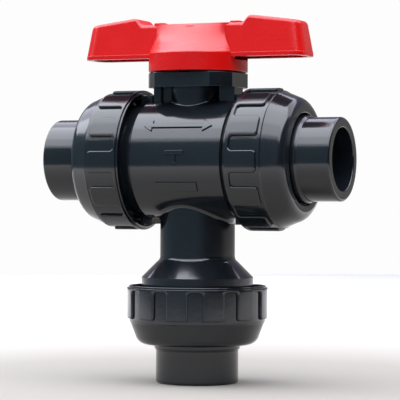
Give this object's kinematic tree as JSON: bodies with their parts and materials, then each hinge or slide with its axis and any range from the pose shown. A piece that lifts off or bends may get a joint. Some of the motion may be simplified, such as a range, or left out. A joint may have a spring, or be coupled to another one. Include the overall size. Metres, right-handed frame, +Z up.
{
  "type": "three way valve",
  "caption": "Three way true-union ball valve in grey uPVC: side and bottom pipe sockets held by ribbed union nuts, and a red wing handle on the stem.",
  "frame": {"origin": "centre of the bottom socket's mouth, which the valve stands on", "axes": "+Z up along the stem, +X along the barrel out of the right hand port, +Y to the back"},
  "size_m": [0.1254, 0.0574, 0.1487],
  "materials": {
    "grey_upvc": "glossy injection-moulded dark grey uPVC",
    "ball_upvc": "machined and polished grey uPVC",
    "red_abs": "glossy injection-moulded red ABS",
    "white_ptfe": "smooth matt white PTFE",
    "black_epdm": "smooth black EPDM"
  },
  "bodies": {
    "valve_body": {"body": "grey_upvc", "stop_plate": "grey_upvc", "stem_washer": "white_ptfe", "left_carrier": "grey_upvc", "left_carrier_o_ring": "black_epdm", "left_seat": "white_ptfe", "left_seat_cushion": "black_epdm", "right_carrier": "grey_upvc", "right_carrier_o_ring": "black_epdm", "right_seat": "white_ptfe", "right_seat_cushion": "black_epdm", "bottom_carrier": "grey_upvc", "bottom_carrier_o_ring": "black_epdm", "bottom_seat": "white_ptfe", "bottom_seat_cushion": "black_epdm"},
    "rotor": {"stem": "grey_upvc", "ball": "ball_upvc", "stem_o_ring_lower": "black_epdm", "stem_o_ring_upper": "black_epdm"},
    "handle": {"handle": "red_abs"},
    "left_end": {"left_connector": "grey_upvc", "left_face_o_ring": "black_epdm"},
    "left_union_nut": {"left_nut": "grey_upvc"},
    "right_end": {"right_connector": "grey_upvc", "right_face_o_ring": "black_epdm"},
    "right_union_nut": {"right_nut": "grey_upvc"},
    "bottom_end": {"bottom_connector": "grey_upvc", "bottom_face_o_ring": "black_epdm"},
    "bottom_union_nut": {"bottom_nut": "grey_upvc"}
  },
  "joints": [
    {"name": "stem_turn", "type": "hinge", "parent": "valve_body", "child": "rotor", "pos_m": [0, 0, 0.09065], "axis": [0, 0, 1], "range_deg": [0, 180]},
    {"name": "handle_lift", "type": "slide", "parent": "rotor", "child": "handle", "axis": [0, 0, 1], "range_m": [0, 0.018]},
    {"name": "left_union_draw", "type": "slide", "parent": "valve_body", "child": "left_end", "axis": [-1, 0, 0], "range_m": [0, 0.012]},
    {"name": "left_nut_turn", "type": "hinge", "parent": "left_end", "child": "left_union_nut", "pos_m": [0, 0, 0.09065], "axis": [-1, 0, 0], "range_deg": [0, 1081]},
    {"name": "right_union_draw", "type": "slide", "parent": "valve_body", "child": "right_end", "axis": [1, 0, 0], "range_m": [0, 0.012]},
    {"name": "right_nut_turn", "type": "hinge", "parent": "right_end", "child": "right_union_nut", "pos_m": [0, 0, 0.09065], "axis": [1, 0, 0], "range_deg": [0, 1081]},
    {"name": "bottom_union_draw", "type": "slide", "parent": "valve_body", "child": "bottom_end", "axis": [0, 0, -1], "range_m": [0, 0.012]},
    {"name": "bottom_nut_turn", "type": "hinge", "parent": "bottom_end", "child": "bottom_union_nut", "pos_m": [0, 0, 0.09065], "axis": [0, 0, -1], "range_deg": [0, 1081]}
  ],
  "couplings": [
    {"joint": "left_nut_turn", "follows": "left_union_draw", "rad_per_m": 1570.8},
    {"joint": "right_nut_turn", "follows": "right_union_draw", "rad_per_m": 1570.8},
    {"joint": "bottom_nut_turn", "follows": "bottom_union_draw", "rad_per_m": 1570.8}
  ]
}
